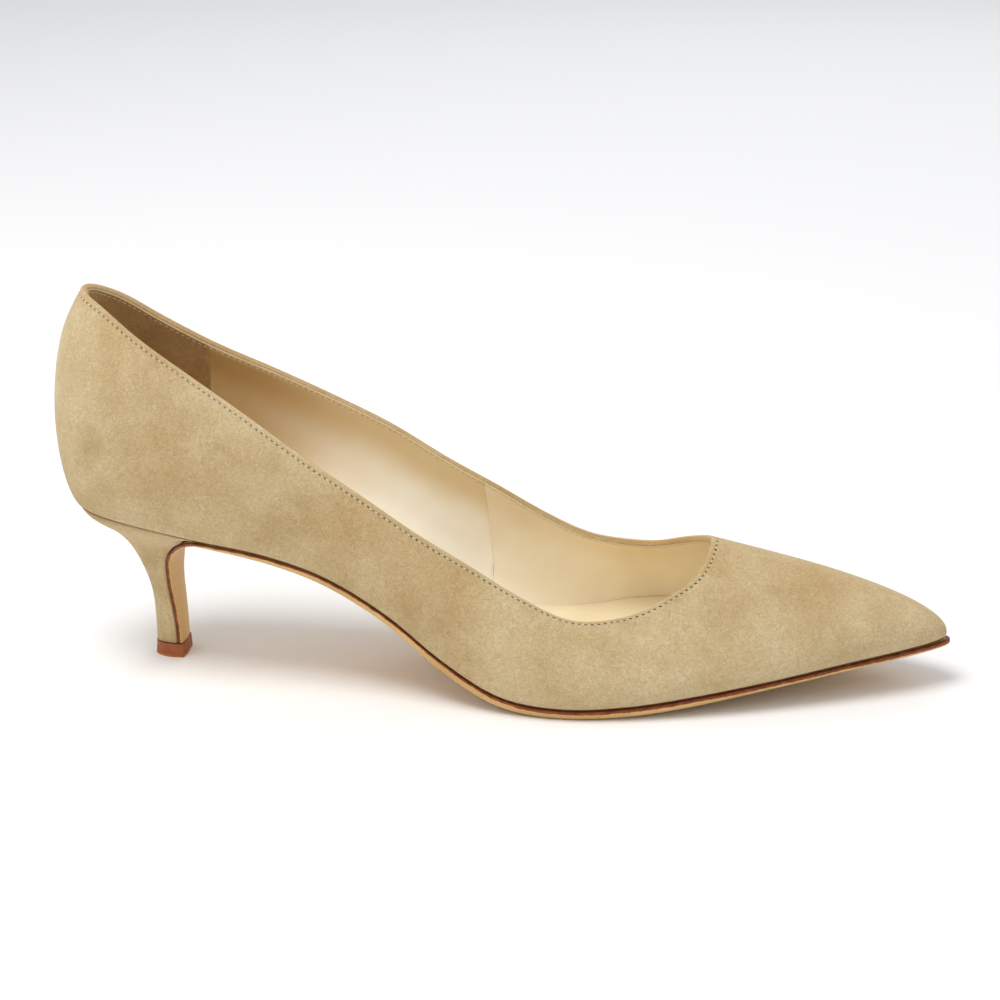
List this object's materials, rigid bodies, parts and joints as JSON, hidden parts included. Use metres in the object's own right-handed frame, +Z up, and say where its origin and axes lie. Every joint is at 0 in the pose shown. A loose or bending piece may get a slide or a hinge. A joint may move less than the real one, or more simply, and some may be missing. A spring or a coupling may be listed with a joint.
{
  "type": "kitten heel pump",
  "caption": "Women's suede court shoe with a pointed toe and a low slender covered heel, open at the collar, with a leather sole that runs on down the heel breast.",
  "frame": {"origin": "centre of the shoe's plan box, on the floor that its sole and heel stand on", "axes": "+X to the toe, +Y to the inner side of the foot, +Z up"},
  "size_m": [0.2498, 0.079, 0.1063],
  "materials": {
    "suede": "matt beige suede, brushed nap",
    "lining": "smooth cream leather, low sheen",
    "sole_leather": "natural sole leather with a brown painted edge",
    "top_piece": "reddish brown, matt"
  },
  "bodies": {
    "root": {"upper": "suede", "insole": "lining", "outsole": "sole_leather", "heel": "suede", "top_piece": "top_piece"}
  },
  "joints": []
}
